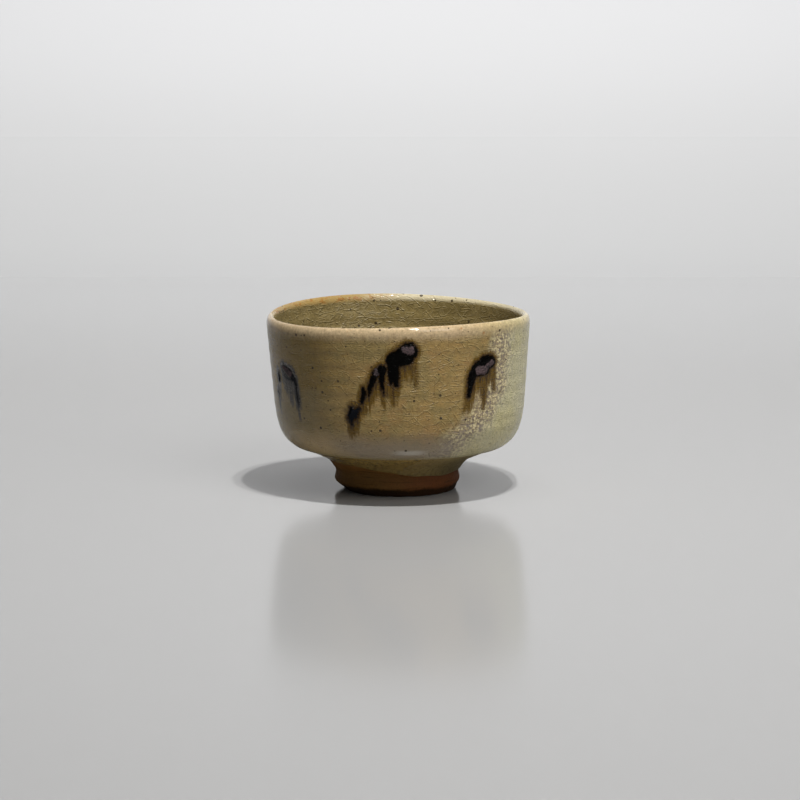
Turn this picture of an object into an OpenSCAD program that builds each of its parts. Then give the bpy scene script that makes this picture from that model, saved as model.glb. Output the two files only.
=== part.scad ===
// Matcha bowl: a thrown stoneware tea bowl on a low turned foot, with a coat of ash glaze
// inside and out and iron marks brushed on the outer coat.
// Millimetres. The front is -Y, +Z is up, and the bowl stands on Z = 0 with its axis on Z.

/* [Bowl] */
// Outer diameter at the lip, over the glaze
rim_d = 120; // [100:1:144]
// Height from the table to the crest of the lip, over the glaze
bowl_h = 82; // [68:1:99]
// How far the wall leans out on its way from the hip to the lip
wall_flare = 4; // [2:0.5:6]
// Height of the hip, where the lines of the wall and of the underside would cross
hip_h = 25; // [20:1:30]
// How far the rounding of the hip reaches along the underside
hip_reach_under = 9; // [6:0.5:11]
// How far the rounding of the hip reaches up the wall
hip_reach_up = 20; // [14:1:26]
// How closely the hip and the inside fill their corners, from soft to sharp
fullness = 0.78; // [0.6:0.01:0.85]

/* [Clay] */
// Thickness of the clay at the lip
lip_t = 3; // [2.4:0.1:3.8]
// Height over which the lip is rounded off
lip_round = 3; // [2:0.1:4]
// Thickness of the clay where the straight wall begins inside
wall_t = 4; // [3:0.1:5]
// Thickness of the clay floor over the foot
floor_t = 4; // [3:0.1:5.5]
// Height at which the inside turns from its curve into the straight wall
inner_turn_h = 52; // [44:1:60]

/* [Foot] */
// Diameter of the foot at its widest
foot_d = 57; // [48:1:68]
// Height of the turned foot
foot_h = 10.8; // [9:0.1:13]
// How far the foot draws in above its widest place
foot_waist = 0.5; // [0.2:0.1:1]
// Width of the chamfer around the lower edge
foot_chamfer_w = 3.2; // [2:0.1:4]
// Height of the chamfer around the lower edge
foot_chamfer_h = 3.8; // [2:0.1:4.5]
// Width of the ring that stands around the recess
foot_ring_w = 7.5; // [6:0.1:9]
// Depth of the recess under the foot
recess_h = 6; // [4:0.1:7]
// Bevel on the inner edge of the ring
recess_bevel = 1.2; // [0.6:0.1:2]
// How far the foot sits off the bowl's axis, towards the left
foot_shift = 1; // [0:0.1:1.5]
// Height over which the neck turns into the underside
neck_h = 1.2; // [0.8:0.1:2]
// How far that turn reaches along the underside
neck_reach = 3; // [2:0.1:4]

/* [Glaze] */
// Thickness of the outer coat
outer_coat_t = 0.5; // [0.3:0.05:0.8]
// Thickness of the inner coat
inner_coat_t = 0.5; // [0.3:0.05:0.8]

/* [Iron marks] */
// How far an iron mark stands over the outer coat
mark_t = 0.4; // [0.2:0.05:0.6]
// Top mark: angle around the bowl from the front, and height
top_at = [1.7, 70.5]; // [-180:0.1:180]
// Top mark: length, breadth and tilt of its head
top_head = [15, 10, 35]; // [0:0.1:90]
// Middle mark: angle and height
middle_at = [-8.9, 63.2]; // [-180:0.1:180]
// Middle mark: length, breadth and tilt of its head
middle_head = [9, 6, 40]; // [0:0.1:90]
// Link between the middle and the low mark: angle and height
link_at = [-16.4, 51.8]; // [-180:0.1:180]
// Link: length, breadth and tilt
link_head = [7.4, 2, 80]; // [0:0.1:90]
// Low mark: angle and height
low_at = [-21, 43.3]; // [-180:0.1:180]
// Low mark: length, breadth and tilt of its head
low_head = [7.8, 6.4, 60]; // [0:0.1:90]
// Right mark: angle and height
right_at = [39.5, 62.8]; // [-180:0.1:180]
// Right mark: length, breadth and tilt of its head
right_head = [18, 8, 35]; // [0:0.1:90]
// Left mark: angle and height
left_at = [-58.5, 58.5]; // [-180:0.1:180]
// Left mark: length, breadth and tilt of its head
left_head = [16, 9, 0]; // [0:0.1:90]
// Small mark at the left edge: angle and height
edge_at = [-70.5, 55.8]; // [-180:0.1:180]
// Small mark at the left edge: length, breadth and tilt of its head
edge_head = [5, 3.6, 80]; // [0:0.1:90]
// Marks on the back, from the right round to the left: angle and height of each
back_a_at = [104, 62]; // [-180:0.1:180]
// Angle and height of the middle one
back_b_at = [165, 66]; // [-180:0.1:180]
// Angle and height of the last one
back_c_at = [228, 59]; // [-180:0.1:240]
// Length, breadth and tilt of the heads on the back
back_head = [13, 8.5, 20]; // [0:0.1:90]

/* [Hidden] */

// Facets that a round shape is drawn with
round_fn = 120;
// Points along a long curve, around the lip and around the head of a mark
curve_steps = 12;
lip_steps = 7;
head_steps = 28;
tip_steps = 6;

// Runs of each mark: where it leaves the head, where it ends sideways, its length, and its
// width at the head and at its tip
top_runs = [[-3.2, -3.4, 12, 6, 3.2]];
middle_runs = [[-2.8, -4.8, 11.5, 3, 1.3], [1.6, 2.3, 11.5, 2.4, 1]];
low_runs = [[-0.8, -1.6, 6.4, 3, 1.4]];
right_runs = [[-5.6, -9.4, 15, 3.8, 1.6], [-1, 0, 7.5, 4, 2], [6, 8, 11, 3, 1.8]];
left_runs = [[6.2, 7.2, 17, 2.4, 1.1]];
edge_runs = [[0, -0.3, 10, 1.7, 1.1]];
back_a_runs = [[-3, -4, 12, 4, 1.8], [3, 3.6, 8, 3, 1.4]];
back_b_runs = [[2, 2.4, 13, 3.6, 1.4]];
back_c_runs = [[-4, -5, 9, 3, 1.4], [2.6, 3.4, 14, 3.4, 1.6]];

// The lines that the clay follows: the neck, the hip and the lip, under the outer coat
neck_r = foot_d / 2 - foot_waist + foot_shift + 0.6;
neck_corner = [neck_r, foot_h + neck_h];
hip_corner = [rim_d / 2 - outer_coat_t - wall_flare, hip_h];
lip_out = [rim_d / 2 - outer_coat_t, bowl_h - outer_coat_t - lip_round];
lip_in = lip_out - [lip_t, 0];
lip_mid = lip_out - [lip_t / 2, 0];
floor_top = foot_h + floor_t;

// Points along a cubic curve from a to d, without its last point
function curve(a, b, c, d) = [
    for (i = [0:curve_steps - 1])
        let (t = i / curve_steps, s = 1 - t)
        s * s * s * a + 3 * s * s * t * b + 3 * s * t * t * c + t * t * t * d
];

// Points of a corner that is rounded off between a and b
function rounded(a, corner, b, fill) =
    curve(a, a + (corner - a) * fill, b + (corner - b) * fill, b);

// A point at a distance from one corner towards another
function towards(from, to, distance) = from + (to - from) * distance / norm(to - from);

// Where the line of the outer wall is at a height
function wall_r(z) =
    lip_out[0] + (z - lip_out[1]) * (lip_out[0] - hip_corner[0]) / (lip_out[1] - hip_corner[1]);

// The outside of the clay, from the foot to the crest of the lip
hip_start = towards(hip_corner, neck_corner, hip_reach_under);
hip_end = towards(hip_corner, lip_out, hip_reach_up);
neck_end = towards(neck_corner, hip_corner, neck_reach);
outer_path = concat(
    rounded([neck_r, foot_h], neck_corner, neck_end, fullness),
    [neck_end],
    rounded(hip_start, hip_corner, hip_end, fullness),
    [hip_end],
    [for (i = [0:lip_steps]) let (a = 90 * i / lip_steps)
        lip_mid + [lip_t / 2 * cos(a), lip_round * sin(a)]]
);

// The inside of the clay, from the middle of the floor to the same crest
turn = [wall_r(inner_turn_h) - wall_t, inner_turn_h];
inner_lean = (lip_in[0] - turn[0]) / (lip_in[1] - turn[1]);
inner_corner = [turn[0] - (turn[1] - floor_top) * inner_lean, floor_top];
inner_path = concat(
    rounded([0, floor_top], inner_corner, turn, fullness),
    [turn],
    [for (i = [0:lip_steps]) let (a = 90 * i / lip_steps)
        lip_mid + [-lip_t / 2 * cos(a), lip_round * sin(a)]]
);

// Direction of a path at one of its points, turned to point out of the clay
function along(path, i) = path[min(i + 1, len(path) - 1)] - path[max(i - 1, 0)];
function square_to(v, side) = [v[1], -v[0]] * side / norm(v);

// A path moved off the clay by a coat's thickness. It leaves its first point in the given
// direction, and its last point, the crest, straight up
function coated(path, coat, side, first) = [
    for (i = [0:len(path) - 1])
        path[i] + coat * (
            i == 0 ? first
            : i == len(path) - 1 ? [0, 1]
            : square_to(along(path, i), side)
        )
];

function reversed(path) = [for (i = [len(path) - 1:-1:0]) path[i]];

outer_face = coated(outer_path, outer_coat_t, 1, [1, 0]);
mark_face = coated(outer_path, outer_coat_t + mark_t, 1, [1, 0]);
inner_face = coated(inner_path, inner_coat_t, -1, [0, 1]);
// Number of the path point above which marks are brushed on
first_marked = curve_steps + 1;
last_marked = len(outer_path) - 1 - lip_steps;

function slice(path, from, to) = [for (i = [from:to]) path[i]];

module turned(outline) {
    rotate_extrude($fn = round_fn)
        polygon(outline);
}

// Outline of a mark's head, a plain oval
module head_outline(length, breadth, tilt) {
    rotate(tilt)
        polygon([for (i = [0:head_steps - 1]) let (a = 360 * i / head_steps)
            [length / 2 * cos(a), breadth / 2 * sin(a)]]);
}

// Outline of one run, from the middle of the head down to its round tip
module run_outline(from, to, length, top_w, tip_w) {
    polygon(concat(
        [[from - top_w / 2, 0]],
        [for (i = [0:tip_steps]) let (a = 180 + 180 * i / tip_steps)
            [to + tip_w / 2 * cos(a), -length + tip_w / 2 * sin(a)]],
        [[from + top_w / 2, 0]]
    ));
}

// An iron mark: the skin over the outer coat, cut to the outline of its head and runs
module iron_mark(at, head, runs) {
    color([0.06, 0.05, 0.045])
        intersection() {
            turned(concat(
                slice(outer_face, first_marked, last_marked),
                reversed(slice(mark_face, first_marked, last_marked))
            ));
            rotate([0, 0, at[0]])
                translate([0, 0, at[1]])
                    rotate([90, 0, 0])
                        linear_extrude(rim_d)
                            union() {
                                head_outline(head[0], head[1], head[2]);
                                for (run = runs) {
                                    run_outline(run[0], run[1], run[2], run[3], run[4]);
                                }
                            }
        }
}

// The thrown wall, hip and floor
module thrown_body() {
    color([0.42, 0.29, 0.20])
        turned(concat([[0, foot_h]], outer_path, reversed(slice(inner_path, 0, len(inner_path) - 2))));
}

// The foot, turned slightly off the axis, with the recess inside its ring
module turned_foot() {
    foot_r = foot_d / 2;
    recess_r = foot_r - foot_ring_w;
    color([0.35, 0.17, 0.09])
        translate([-foot_shift, 0, 0])
            turned([
                [0, recess_h],
                [recess_r, recess_h],
                [recess_r, recess_bevel],
                [recess_r + recess_bevel, 0],
                [foot_r - foot_chamfer_w, 0],
                [foot_r, foot_chamfer_h],
                [foot_r - foot_waist, (foot_chamfer_h + foot_h) / 2],
                [foot_r - foot_waist + 0.6, foot_h],
                [0, foot_h]
            ]);
}

// The coat inside, from the floor to the crest
module inner_glaze() {
    color([0.55, 0.48, 0.33])
        turned(concat(inner_path, reversed(inner_face)));
}

// The coat outside, from the neck to the crest
module outer_glaze() {
    color([0.60, 0.53, 0.37])
        turned(concat(outer_path, reversed(outer_face)));
}

module top_dab() { iron_mark(top_at, top_head, top_runs); }
module middle_dab() { iron_mark(middle_at, middle_head, middle_runs); }
module link_dab() { iron_mark(link_at, link_head, []); }
module low_dab() { iron_mark(low_at, low_head, low_runs); }
module right_dab() { iron_mark(right_at, right_head, right_runs); }
module left_dab() { iron_mark(left_at, left_head, left_runs); }
module edge_dab() { iron_mark(edge_at, edge_head, edge_runs); }
module back_dab_a() { iron_mark(back_a_at, back_head, back_a_runs); }
module back_dab_b() { iron_mark(back_b_at, back_head, back_b_runs); }
module back_dab_c() { iron_mark(back_c_at, back_head, back_c_runs); }

thrown_body();
turned_foot();
inner_glaze();
outer_glaze();
top_dab();
middle_dab();
link_dab();
low_dab();
right_dab();
left_dab();
edge_dab();
back_dab_a();
back_dab_b();
back_dab_c();
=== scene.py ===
# %% [markdown]
# # A matcha bowl on its foot
# This lesson builds a hand-thrown tea bowl around a finished CAD frame. The frame gives
# the sizes, and every CAD part is replaced by a piece with a potter's unevenness, a fired
# glaze and real clay. Modelling is done in millimetres and turned into metres at the end.

import math
from types import SimpleNamespace

import bpy
import numpy as np
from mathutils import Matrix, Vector, noise


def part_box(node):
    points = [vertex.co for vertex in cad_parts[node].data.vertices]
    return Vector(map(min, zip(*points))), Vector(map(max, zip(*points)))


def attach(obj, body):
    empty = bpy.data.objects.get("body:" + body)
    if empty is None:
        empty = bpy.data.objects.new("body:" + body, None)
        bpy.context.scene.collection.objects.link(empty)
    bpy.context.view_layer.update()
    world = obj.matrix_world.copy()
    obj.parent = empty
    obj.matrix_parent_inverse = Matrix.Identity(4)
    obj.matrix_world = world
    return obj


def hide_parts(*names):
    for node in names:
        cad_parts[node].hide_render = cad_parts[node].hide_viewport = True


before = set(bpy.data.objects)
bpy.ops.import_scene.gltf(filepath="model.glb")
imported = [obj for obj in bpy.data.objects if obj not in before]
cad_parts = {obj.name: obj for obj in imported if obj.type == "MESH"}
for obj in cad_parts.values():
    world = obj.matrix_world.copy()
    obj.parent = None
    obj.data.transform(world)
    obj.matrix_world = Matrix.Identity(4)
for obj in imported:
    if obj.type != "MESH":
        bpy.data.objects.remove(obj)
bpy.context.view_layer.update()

MM = 0.001
coat_low, coat_high = (Vector(c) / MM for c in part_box("outer_glaze"))
foot_low, foot_high = (Vector(c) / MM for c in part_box("turned_foot"))
RIM_R = (coat_high.x - coat_low.x) / 2
BOWL_H = coat_high.z
FOOT_R = (foot_high.x - foot_low.x) / 2
FOOT_H = foot_high.z
FOOT_SHIFT = (foot_high.x + foot_low.x) / 2
print("rim", round(RIM_R, 2), "height", round(BOWL_H, 2), "foot", round(FOOT_R, 2), round(FOOT_H, 2))

# %% [markdown]
# ## Camera, floor and light
# The camera stands low and far away, as for a catalogue: a long lens keeps the ellipse of
# the lip flat. The floor is a pale satin board that bends up into a backdrop, so that no
# horizon cuts through the picture. It is a plane whose far edge is extruded up and whose
# fold is bevelled. The backdrop is a sheet of its own that throws no light back on the
# bowl, because in a large room the wall is too far away to fill the shadow. Two small
# lamps overhead make the highlights on the lip, and a wide one on the right is a window.

# %% Camera
EYE = Vector((0.0002, -1.899, 0.3464))
LOOK_DOWN = math.radians(9.15)
bpy.ops.object.camera_add(location=EYE, rotation=(math.pi / 2 - LOOK_DOWN, 0, 0))
camera = bpy.context.object
camera.data.sensor_width = 36
camera.data.lens = 189
camera.data.clip_end = 50
bpy.context.scene.camera = camera
bpy.context.scene.view_settings.view_transform = "Standard"
print("camera at", tuple(round(v, 3) for v in EYE))


# %% Small helpers for working by hand
def leave_edit():
    """Go back to object mode, which keeps what was edited."""
    bpy.ops.object.mode_set(mode="OBJECT")


def nothing_selected():
    """Leave no object selected, because operators act on all that is."""
    if bpy.context.object and bpy.context.object.mode != "OBJECT":
        leave_edit()
    bpy.ops.object.select_all(action="DESELECT")


def just(piece):
    """Select one piece and make it the active one."""
    nothing_selected()
    piece.select_set(True)
    bpy.context.view_layer.objects.active = piece
    return piece


def edit(piece, picking="VERT"):
    """Go into edit mode, picking points, edges or faces."""
    modes = ("VERT", "EDGE", "FACE")
    bpy.context.tool_settings.mesh_select_mode = tuple(picking == mode for mode in modes)
    bpy.ops.object.mode_set(mode="EDIT")


def draw_out(x, y, z):
    """Extrude what is selected, by a step in metres."""
    bpy.ops.mesh.extrude_region_move(TRANSFORM_OT_translate={"value": (x, y, z)})


def face_outwards(piece):
    """Turn all faces of a closed piece outwards."""
    just(piece)
    edit(piece)
    bpy.ops.mesh.select_all(action="SELECT")
    bpy.ops.mesh.normals_make_consistent(inside=False)
    leave_edit()


def points_of(piece):
    """The piece's points in millimetres, one row each."""
    flat = np.empty(len(piece.data.vertices) * 3, dtype=np.float64)
    piece.data.vertices.foreach_get("co", flat)
    return flat.reshape(-1, 3) / MM


def put_points(piece, points):
    """Move the piece's points to new places, given in millimetres."""
    piece.data.vertices.foreach_set("co", (points * MM).ravel())
    piece.data.update()


# %% Floor and backdrop
def pick_edges(piece, wanted):
    """Select the edges whose middle passes a test."""
    mesh = piece.data
    for vert in mesh.vertices:
        vert.select = False
    for face in mesh.polygons:
        face.select = False
    for edge in mesh.edges:
        ends = [mesh.vertices[i].co for i in edge.vertices]
        edge.select = wanted((ends[0] + ends[1]) / 2)


FAR_EDGE = 1.1
nothing_selected()
bpy.ops.mesh.primitive_plane_add(size=1, location=(0, 0, 0))
floor = bpy.context.object
floor.name = "floor"
floor.scale = (5, 3.2, 1)
floor.location = (0, -0.4, 0)
bpy.ops.object.transform_apply(location=True, scale=True)
pick_edges(floor, lambda middle: middle.y > FAR_EDGE)
edit(floor, "EDGE")
draw_out(0, 0, 2.2)
leave_edit()
pick_edges(floor, lambda middle: middle.y > FAR_EDGE and abs(middle.z) < 0.01)
edit(floor, "EDGE")
bpy.ops.mesh.bevel(offset=0.5, segments=24, profile=0.5)
leave_edit()
bpy.ops.object.shade_smooth()
for face in floor.data.polygons:
    face.select = face.center.z > 0.001
edit(floor, "FACE")
bpy.ops.mesh.separate(type="SELECTED")
leave_edit()
backdrop = next(other for other in bpy.context.selected_objects if other != floor)
backdrop.name = "backdrop"
backdrop.visible_diffuse = False
print("floor", len(floor.data.polygons), "faces, backdrop", len(backdrop.data.polygons))


# %% Lights
def soft_light(name, spot, size, power, aim=(0, 0, 0.04)):
    """A round studio lamp at a place, turned towards the bowl."""
    bpy.ops.object.light_add(type="AREA", location=spot)
    lamp = bpy.context.object
    lamp.name = name
    lamp.data.shape = "DISK"
    lamp.data.size = size
    lamp.data.energy = power
    lamp.rotation_euler = (Vector(aim) - Vector(spot)).to_track_quat("-Z", "Y").to_euler()
    return lamp


soft_light("ceiling_lamp_a", (0.15, -0.36, 1.36), 0.03, 11.6)
soft_light("ceiling_lamp_b", (0.22, -0.37, 1.36), 0.03, 7.9)
soft_light("front_window", (0.98, -1.42, 1.38), 1.4, 16.5)
soft_light("ceiling_panel", (0, 0, 2.2), 2.0, 2.2)
wash = soft_light("backdrop_wash", (0, 0.3, 2.4), 1.5, 14.0, (0, 1.5, 0.8))
wash.data.spread = math.radians(90)
wall_lamp = soft_light("backdrop_lamp", (0, 0.7, 1.9), 0.8, 5.6, (0, 1.4, 0.7))
wall_lamp.data.spread = math.radians(85)
sky = bpy.data.worlds.new("studio")
bpy.context.scene.world = sky
sky.use_nodes = True
sky_light = sky.node_tree.nodes["Background"].inputs
sky_light["Color"].default_value = (1, 1, 1, 1)
sky_light["Strength"].default_value = 0.075

# %% [markdown]
# ## The outlines
# A potter checks a bowl with a gauge cut to its outline. Here the gauges are lines in the
# plane of radius and height: the outside of the clay, the inside of the clay and the foot.
# Straight legs meet in corners that a cubic curve rounds off, as in the CAD frame, and
# every line is then divided into even steps, which become the rings of the mesh.

# %% Gauge lines
COAT = 0.5
WALL_FLARE = 4.0
HIP_H = 25.0
LEDGE_H = 21.0
LIP_T = 3.0
LIP_ROUND = 3.0
FULLNESS = 0.78
NECK_R = FOOT_R + 0.5
FLOOR_TOP = FOOT_H + 4.0
INNER_TURN = 52.0
INNER_WALL = 4.0
NECK_LEG = 7.5
HIP_LEG = 9.0
WALL_LEG = 20.0


def v2(r, z):
    return np.array((r, z), dtype=float)


def curve(a, b, c, d, steps=24):
    """Points on a cubic curve from a to d, without the last one."""
    t = np.arange(steps)[:, None] / steps
    s = 1 - t
    return s**3 * a + 3 * s * s * t * b + 3 * s * t * t * c + t**3 * d


def rounded(a, corner, b, fill=FULLNESS):
    return curve(a, a + (corner - a) * fill, b + (corner - b) * fill, b)


def towards(start, end, distance):
    return start + (end - start) * distance / np.linalg.norm(end - start)


def lengths_along(line):
    """Length of a line up to each of its points."""
    return np.concatenate([[0], np.cumsum(np.linalg.norm(np.diff(line, axis=0), axis=1))])


def at_length(wanted, lengths, rows):
    """Rows of two numbers, read between the points of a line."""
    return np.stack([np.interp(wanted, lengths, rows[:, k]) for k in (0, 1)], axis=-1)


def evenly(line, spacing):
    """Divide a line into even steps of about the given length."""
    line = np.asarray(line)
    lengths = lengths_along(line)
    count = max(2, int(round(lengths[-1] / spacing)) + 1)
    return at_length(np.linspace(0, lengths[-1], count), lengths, line)


def lip(side):
    """The rounding of the lip, up to its crest, on the outside (1) or the inside (-1)."""
    turn = np.radians(np.arange(0, 91, 6))
    across = lip_mid[0] + side * LIP_T / 2 * np.cos(turn)
    return np.stack([across, lip_mid[1] + LIP_ROUND * np.sin(turn)], axis=1)


neck_corner = v2(NECK_R - 0.3, FOOT_H + 2.2)
hip_corner = v2(RIM_R - COAT - WALL_FLARE, HIP_H)
lip_out = v2(RIM_R - COAT, BOWL_H - COAT - LIP_ROUND)
lip_in = lip_out - v2(LIP_T, 0)
lip_mid = lip_out - v2(LIP_T / 2, 0)
neck_end = towards(neck_corner, hip_corner, NECK_LEG)
hip_start = towards(hip_corner, neck_corner, HIP_LEG)
hip_end = towards(hip_corner, lip_out, WALL_LEG)
outside = np.concatenate(
    [
        [v2(NECK_R - 0.9, FOOT_H - 4.0)],
        rounded(v2(NECK_R - 0.8, FOOT_H - 2.8), neck_corner, neck_end, 0.62),
        rounded(hip_start, hip_corner, hip_end),
        lip(1),
    ]
)
turn_r = lip_out[0] + (INNER_TURN - lip_out[1]) * WALL_FLARE / (lip_out[1] - HIP_H) - INNER_WALL
inner_turn = v2(turn_r, INNER_TURN)
lean = (lip_in[0] - turn_r) / (lip_in[1] - INNER_TURN)
inner_corner = v2(turn_r - (INNER_TURN - FLOOR_TOP) * lean, FLOOR_TOP)
inside = np.concatenate([rounded(v2(0, FLOOR_TOP), inner_corner, inner_turn), lip(-1)])
print("outside line", len(outside), "points, inside line", len(inside))


# %% [markdown]
# A glaze coat is the clay's line moved out along its normals. The same step gives the
# ledge under the hip, where the turning tool stopped: below it the clay is cut back.


# %% Lines moved along their normals
def normals_of(line, side):
    """Unit normals of a line, on its right (1) or its left (-1)."""
    along = np.gradient(line, axis=0)
    across = np.stack([along[:, 1], -along[:, 0]], axis=1) * side
    return across / np.linalg.norm(across, axis=1, keepdims=True)


def smooth(x, low, high):
    """0 below low, 1 above high and a soft step between."""
    t = np.clip((x - low) / (high - low), 0, 1)
    return t * t * (3 - 2 * t)


LEDGE_CUT = 0.55
RIDGE = 0.16
OUTER_RING = 0.62
INNER_RING = 0.85
outer_clay = evenly(outside, OUTER_RING)
clay_z = outer_clay[:, 1]
below_ledge = 1 - smooth(clay_z, LEDGE_H - 0.5, LEDGE_H + 0.5)
cut = LEDGE_CUT * below_ledge * smooth(clay_z, FOOT_H + 1, FOOT_H + 5)
ridge = RIDGE * np.exp(-(((clay_z - LEDGE_H - 0.8) / 0.7) ** 2))
outer_clay = outer_clay + normals_of(outer_clay, 1) * (ridge - cut)[:, None]
inner_clay = evenly(inside, INNER_RING)


def coat_over(line, side, thickness):
    """The outer skin of a coat over a line; its last point stands straight over the crest."""
    across = normals_of(line, side)
    across[-1] = (0, 1)
    return line + across * np.asarray(thickness).reshape(-1, 1)


print("rings outside", len(outer_clay), "and inside", len(inner_clay))


# %% [markdown]
# ## Turning a line into a body
# The wheel turns any outline into a body. One point is drawn along the outline, extruded
# step by step, and then spun once around the bowl's axis. The seam and the poles are
# merged and the faces turned outwards before anything else is done.


# %% The wheel
def turn_on_wheel(name, outline, steps):
    """Draw an outline point by point, then spin it into a closed body."""
    nothing_selected()
    bpy.ops.mesh.primitive_plane_add(size=MM, location=(0, 0, 0))
    piece = bpy.context.object
    piece.name = name
    edit(piece)
    bpy.ops.mesh.select_all(action="SELECT")
    bpy.ops.mesh.merge(type="CENTER")
    first = outline[0]
    bpy.ops.transform.translate(value=(first[0] * MM, 0, first[1] * MM))
    for step in np.diff(outline, axis=0):
        draw_out(step[0] * MM, 0, step[1] * MM)
    leave_edit()
    wheel = piece.modifiers.new("wheel", "SCREW")
    wheel.steps = wheel.render_steps = steps
    bpy.ops.object.modifier_apply(modifier="wheel")
    edit(piece)
    bpy.ops.mesh.select_all(action="SELECT")
    bpy.ops.mesh.remove_doubles(threshold=0.01 * MM)
    face_outwards(piece)
    print(name, "has", len(piece.data.polygons), "faces")
    return piece


# %% [markdown]
# ## The potter's hand
# No thrown bowl is quite round. The lip rises and falls by a millimetre, the wall leans
# a little, the foot sits off the axis and throwing rings run around the wall. All pieces
# go through this one function of place, so that coats and marks stay on the clay.


# %% Unevenness
LIP_WAVE_AT = math.radians(23)
LIP_TILT_AT = math.radians(60)
LIP_TILT = 0.37
LIP_DROP = 0.65
OVAL_AT = math.radians(70)
OVAL = 0.0035
THREE_SIDED = 0.002
THROWN_RING = 0.05
RING_STEP = 6.4
WALL_LEAN = 0.7


def bumps(points, size, seed):
    """Smooth noise from -1 to 1 with lumps of about the given size."""
    shift = Vector((seed * 7.3, seed * 3.1, seed * 5.7))
    return np.array([noise.noise(Vector(p) / size + shift) for p in points])


def around(points):
    """Radius, angle from the front (right is positive) and height of each point."""
    radius = np.hypot(points[:, 0], points[:, 1])
    angle = np.arctan2(points[:, 0], -points[:, 1])
    return radius, angle, points[:, 2]


def from_round(radius, angle, height):
    return np.stack([radius * np.sin(angle), -radius * np.cos(angle), height], axis=1)


def by_hand(points):
    """Carry points of the true round form to where the hand-made bowl has them."""
    radius, angle, height = around(points)
    up = smooth(height, 20, BOWL_H)
    lift = np.cos(2 * (angle - LIP_WAVE_AT)) + LIP_TILT * np.cos(angle - LIP_TILT_AT)
    oval = OVAL * np.cos(2 * (angle - OVAL_AT)) + THREE_SIDED * np.cos(3 * angle + 1)
    rings = THROWN_RING * np.sin(height * 2 * math.pi / RING_STEP + 0.6 * np.sin(angle))
    on_wall = smooth(height, 28, 36) * (1 - smooth(height, 74, 79))
    wide = smooth(radius, 20, 40)
    radius = radius * (1 + oval * up) + rings * on_wall * wide
    height = height + (lift - LIP_DROP) * up**1.5 * wide
    out = from_round(radius, angle, height)
    low = 1 - smooth(height, 11, 22)
    out[:, 0] += FOOT_SHIFT * 1.1 * low * smooth(height, 0, 4) - WALL_LEAN * smooth(height, 30, 80)
    return out


# %% [markdown]
# ## Clay
# The body and the foot are one lump of clay on the real bowl. The foot is turned when the
# clay is leather-hard: the tool leaves a chamfer, a recess and small torn places. The body
# runs from the neck up to the crest of the lip and back down inside.

# %% Thrown body
body_outline = np.concatenate(
    [
        [v2(0, FOOT_H)],
        outer_clay[clay_z > FOOT_H + 0.02][::2],
        inner_clay[::-2],
    ]
)
body_outline[-1] = (0, FLOOR_TOP)
body = turn_on_wheel("clay_body", body_outline, steps=320)
put_points(body, by_hand(points_of(body)))

# %% Turned foot
CHAMFER_W = 3.3
CHAMFER_H = 4.4
RECESS_R = FOOT_R - 7.5
RECESS_H = 6.0
side = v2(FOOT_R, CHAMFER_H)
edge = v2(FOOT_R - CHAMFER_W, 0)
brow = v2(RECESS_R, RECESS_H)
foot_line = np.concatenate(
    [
        [v2(0, RECESS_H - 0.5)],
        rounded(brow - v2(4, 0.1), brow, brow - v2(-0.1, 3)),
        rounded(v2(RECESS_R + 0.3, 1.6), v2(RECESS_R + 0.6, 0), v2(RECESS_R + 2.0, 0)),
        rounded(edge - v2(0.8, 0), edge, towards(edge, side, 0.9)),
        rounded(towards(side, edge, 1.0), side, side + v2(-0.1, 1.4)),
        [v2(FOOT_R - 0.6, FOOT_H - 3.0), v2(FOOT_R - 0.3, FOOT_H - 1.2), v2(NECK_R, FOOT_H)],
    ]
)
foot_top = evenly([v2(NECK_R, FOOT_H), v2(0, FOOT_H)], 4)[1:]
foot_outline = np.concatenate([evenly(foot_line, 0.5), foot_top])
foot = turn_on_wheel("clay_foot", foot_outline, steps=384)


def worn_by_turning(points):
    """Chatter, torn grit and an uneven chamfer on the foot."""
    radius, angle, height = around(points)
    outer = smooth(radius, FOOT_R - 6, FOOT_R - 3) * (1 - smooth(height, FOOT_H - 1.5, FOOT_H))
    grit = bumps(points, 1.3, 2) * 0.09 + bumps(points, 4.5, 3) * 0.16
    turning = 0.05 * np.sin(height * 2 * math.pi / 1.1 + angle)
    low = 1 - smooth(height, 1.0, 4.2)
    more_cut = 0.5 * low * (0.5 - 0.5 * np.cos(angle - math.radians(75)))
    torn = -1.3 * np.clip(bumps(points, 3.0, 4) - 0.25, 0, 1) * low
    radius = radius + outer * (grit + turning + torn - more_cut)
    recess = (radius < RECESS_R - 0.5) * (height < RECESS_H + 0.5)
    spiral = 0.12 * np.sin(radius * 2 * math.pi / 2.6 + angle) * recess
    off_table = smooth(height, 0.0, 0.8)
    return from_round(radius, angle, height + spiral + 0.12 * grit * off_table)


put_points(foot, by_hand(worn_by_turning(points_of(foot))))

# %% [markdown]
# ## Glaze coats
# The outer coat thins out towards a small bead and ends above the foot in a wavy line, low
# on the right of the front and high on the left. The coat's outline is spun like the
# clay, and then the rings near its lower end slide along the clay's line.


# %% Outer coat
EDGE_MIDDLE = 12.0
EDGE_SWING = 2.5
EDGE_TURN = math.radians(-8)
THIN_EDGE = 0.3
FULL_AFTER = 7.0
BEAD = 0.2
BEAD_AT = 1.3
BEAD_WIDTH = 1.2
SLIDE_OVER = 14.0
BLOCK = 20000
line_length = lengths_along(outer_clay)


def edge_height(angle):
    """Height at which the outer coat ends, around the bowl."""
    swing = np.tanh(3.0 * np.sin(angle - EDGE_TURN))
    waves = 0.30 * np.sin(5 * angle + 0.7) + 0.18 * np.sin(11 * angle + 2.0)
    return EDGE_MIDDLE - EDGE_SWING * swing + waves


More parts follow.
